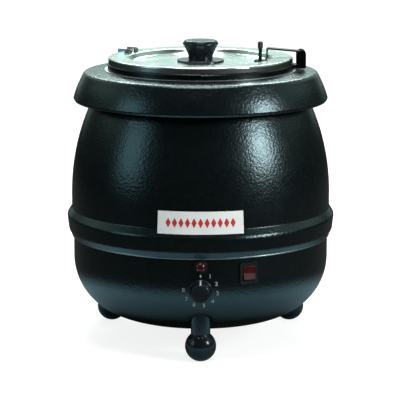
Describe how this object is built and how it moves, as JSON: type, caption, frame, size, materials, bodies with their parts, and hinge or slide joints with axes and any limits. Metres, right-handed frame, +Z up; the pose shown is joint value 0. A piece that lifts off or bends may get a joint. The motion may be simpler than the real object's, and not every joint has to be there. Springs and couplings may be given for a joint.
{
  "type": "soup kettle",
  "caption": "Pot-bellied electric soup kettle on ball feet, with a water bath, a lift-out pot and a hinged stainless lid.",
  "frame": {"origin": "on the table, under the kettle's axis", "axes": "+Z up, controls face -Y, lid hinge at +X"},
  "size_m": [0.3407, 0.3654, 0.3806],
  "materials": {
    "hammer_black": "gloss hammer finish",
    "polished_steel": "polished",
    "bath_steel": "satin",
    "gloss_black": "gloss",
    "matte_black": "satin",
    "red_lens": "gloss, translucent",
    "soft_black": "matte",
    "seal_grey": "matte",
    "zinc_steel": "zinc plated",
    "element_steel": "heat stained",
    "copper_tube": "drawn copper",
    "block_white": "matte"
  },
  "bodies": {
    "kettle": {"base_bowl": "hammer_black", "body_shell": "hammer_black", "collar_ring": "hammer_black", "collar_screws": "zinc_steel", "water_well": "bath_steel", "well_gasket": "seal_grey", "heating_element": "element_steel", "element_plate": "zinc_steel", "element_studs": "zinc_steel", "element_nuts": "zinc_steel", "thermal_cutout": "zinc_steel", "tie_studs": "zinc_steel", "tie_nuts": "zinc_steel", "bottom_plate": "zinc_steel", "bottom_screws": "zinc_steel", "front_foot": "gloss_black", "rear_left_foot": "gloss_black", "rear_right_foot": "gloss_black", "foot_washers": "zinc_steel", "foot_screws": "zinc_steel", "thermostat_body": "matte_black", "thermostat_nut": "zinc_steel", "capillary_bulb": "copper_tube", "pilot_lamp_body": "matte_black", "pilot_lamp_lens": "red_lens", "switch_housing": "matte_black", "cable_gland": "matte_black", "gland_nut": "matte_black", "terminal_block": "block_white"},
    "dial": {"dial_knob": "gloss_black", "thermostat_spindle": "zinc_steel"},
    "rocker": {"switch_rocker": "red_lens"},
    "pot": {"soup_pot": "polished_steel"},
    "ring": {"lid_ring": "polished_steel", "hinge_bracket": "polished_steel", "hinge_pin": "polished_steel", "bracket_rivets": "polished_steel"},
    "lid": {"lid_panel": "polished_steel", "hinge_arm": "polished_steel", "arm_stud": "polished_steel", "stud_cap": "soft_black", "lid_knob": "gloss_black", "knob_plate": "gloss_black", "knob_screw": "zinc_steel"}
  },
  "joints": [
    {"name": "pot_lift", "type": "slide", "parent": "kettle", "child": "pot", "axis": [0, 0, 1], "range_m": [0, 0.27]},
    {"name": "ring_lift", "type": "slide", "parent": "pot", "child": "ring", "axis": [0, 0, 1], "range_m": [0, 0.08]},
    {"name": "lid_hinge", "type": "hinge", "parent": "ring", "child": "lid", "pos_m": [0.127, 0, 0.3625], "axis": [0, 1, 0], "range_deg": [0, 100]},
    {"name": "dial_turn", "type": "hinge", "parent": "kettle", "child": "dial", "pos_m": [0, -0.1625, 0.0945], "axis": [0, 1, 0], "range_deg": [0, 270]},
    {"name": "rocker_tilt", "type": "hinge", "parent": "kettle", "child": "rocker", "pos_m": [0.05716, -0.14891, 0.114], "axis": [0.9336, 0.3584, 0], "range_deg": [0, 14]}
  ]
}
